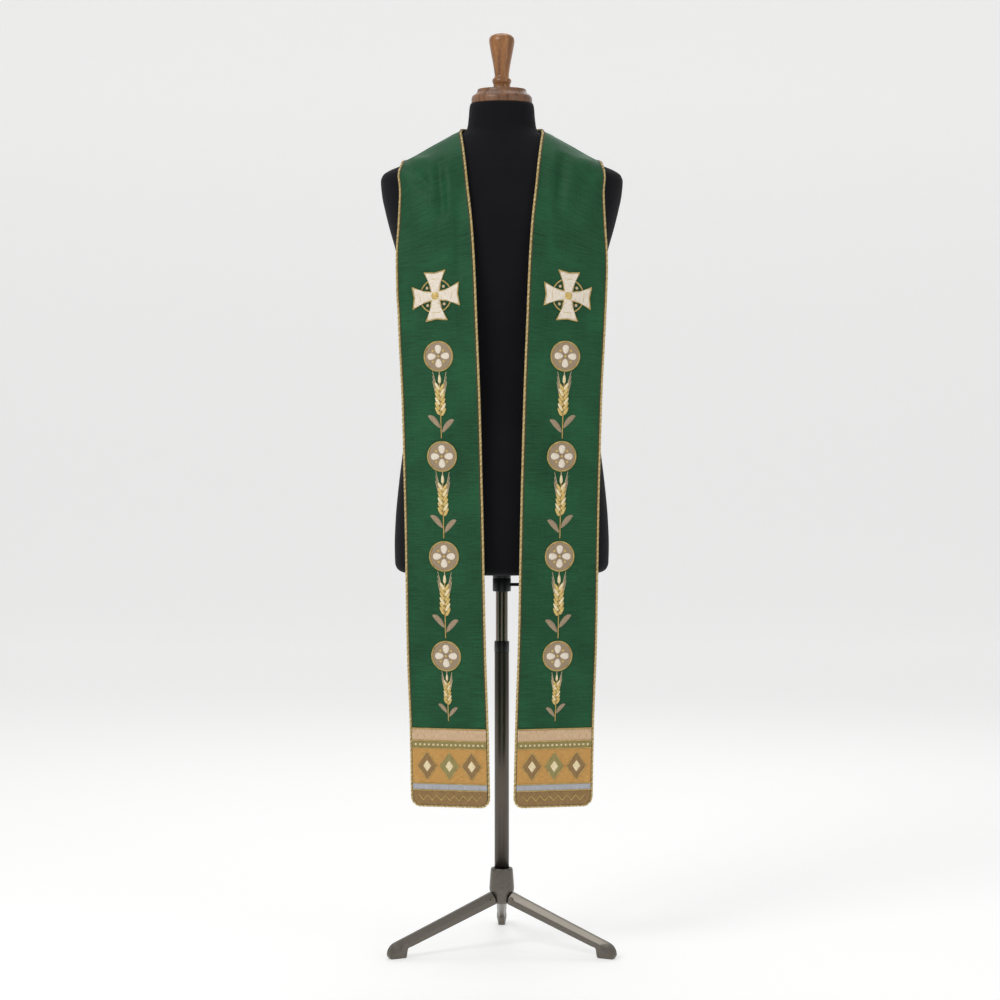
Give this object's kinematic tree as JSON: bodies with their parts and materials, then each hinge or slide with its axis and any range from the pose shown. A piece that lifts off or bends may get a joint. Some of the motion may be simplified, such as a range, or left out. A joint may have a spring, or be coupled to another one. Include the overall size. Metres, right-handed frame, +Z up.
{
  "type": "clerical stole on a dress form stand",
  "caption": "Green silk clerical stole with embroidered bands and a corded edge, worn on a black dress form on a height-adjustable tripod stand.",
  "frame": {"origin": "centre of the whole object's box, on the floor under the three feet; the pole stands 51 mm in front of it", "axes": "+Z up; -Y is the front, where the two ends of the stole hang; +X is to the right seen from the front"},
  "size_m": [0.431, 0.3614, 1.636],
  "materials": {
    "silk": "green silk dupion, slubbed, low sheen",
    "gold_cord": "twisted gold and ivory furnishing cord",
    "hem_brown": "brown satin stitch",
    "hem_blue": "grey-blue satin stitch",
    "hem_ochre": "ochre satin stitch",
    "hem_olive": "olive satin stitch",
    "hem_rose": "pink-beige satin stitch",
    "umber_thread": "dark brown satin stitch",
    "cream_thread": "cream satin stitch",
    "taupe_thread": "taupe satin stitch",
    "jersey": "matt black knitted cover",
    "walnut": "turned, stained and waxed",
    "turned_wood": "turned and varnished",
    "black_metal": "satin black enamel",
    "polished_steel": "polished dark steel",
    "gunmetal": "gunmetal finish",
    "black_plastic": "moulded"
  },
  "bodies": {
    "stand": {"outer_pole": "gunmetal", "pole_bush": "black_plastic", "hub": "gunmetal", "leg_1": "gunmetal", "leg_bolt_1": "polished_steel", "leg_2": "gunmetal", "leg_bolt_2": "polished_steel", "leg_3": "gunmetal", "leg_bolt_3": "polished_steel"},
    "pole": {"inner_pole": "polished_steel"},
    "form": {"form_body": "jersey", "neck_cap": "walnut", "finial": "turned_wood", "collar": "black_metal", "stole_left": "silk", "edge_cord_left": "gold_cord", "hem_band_brown_left": "hem_brown", "hem_band_blue_left": "hem_blue", "hem_band_ochre_left": "hem_ochre", "hem_band_olive_left": "hem_olive", "hem_band_rose_left": "hem_rose", "lozenge_1_left": "umber_thread", "lozenge_2_left": "umber_thread", "lozenge_3_left": "umber_thread", "cross_left": "cream_thread", "medallion_1_left": "taupe_thread", "medallion_2_left": "taupe_thread", "medallion_3_left": "taupe_thread", "medallion_4_left": "taupe_thread", "stole_right": "silk", "edge_cord_right": "gold_cord", "hem_band_brown_right": "hem_brown", "hem_band_blue_right": "hem_blue", "hem_band_ochre_right": "hem_ochre", "hem_band_olive_right": "hem_olive", "hem_band_rose_right": "hem_rose", "lozenge_1_right": "umber_thread", "lozenge_2_right": "umber_thread", "lozenge_3_right": "umber_thread", "cross_right": "cream_thread", "medallion_1_right": "taupe_thread", "medallion_2_right": "taupe_thread", "medallion_3_right": "taupe_thread", "medallion_4_right": "taupe_thread"},
    "screw": {"thumb_screw": "black_metal"}
  },
  "joints": [
    {"name": "pole_height", "type": "slide", "parent": "stand", "child": "pole", "axis": [0, 0, 1], "range_m": [-0.08, 0.2]},
    {"name": "form_swivel", "type": "hinge", "parent": "pole", "child": "form", "pos_m": [0, -0.05126, 0.66], "axis": [0, 0, 1], "continuous": true},
    {"name": "thumb_screw_turn", "type": "hinge", "parent": "form", "child": "screw", "pos_m": [0.0165, -0.05126, 0.653], "axis": [1, 0, 0], "range_deg": [0, 360]}
  ]
}
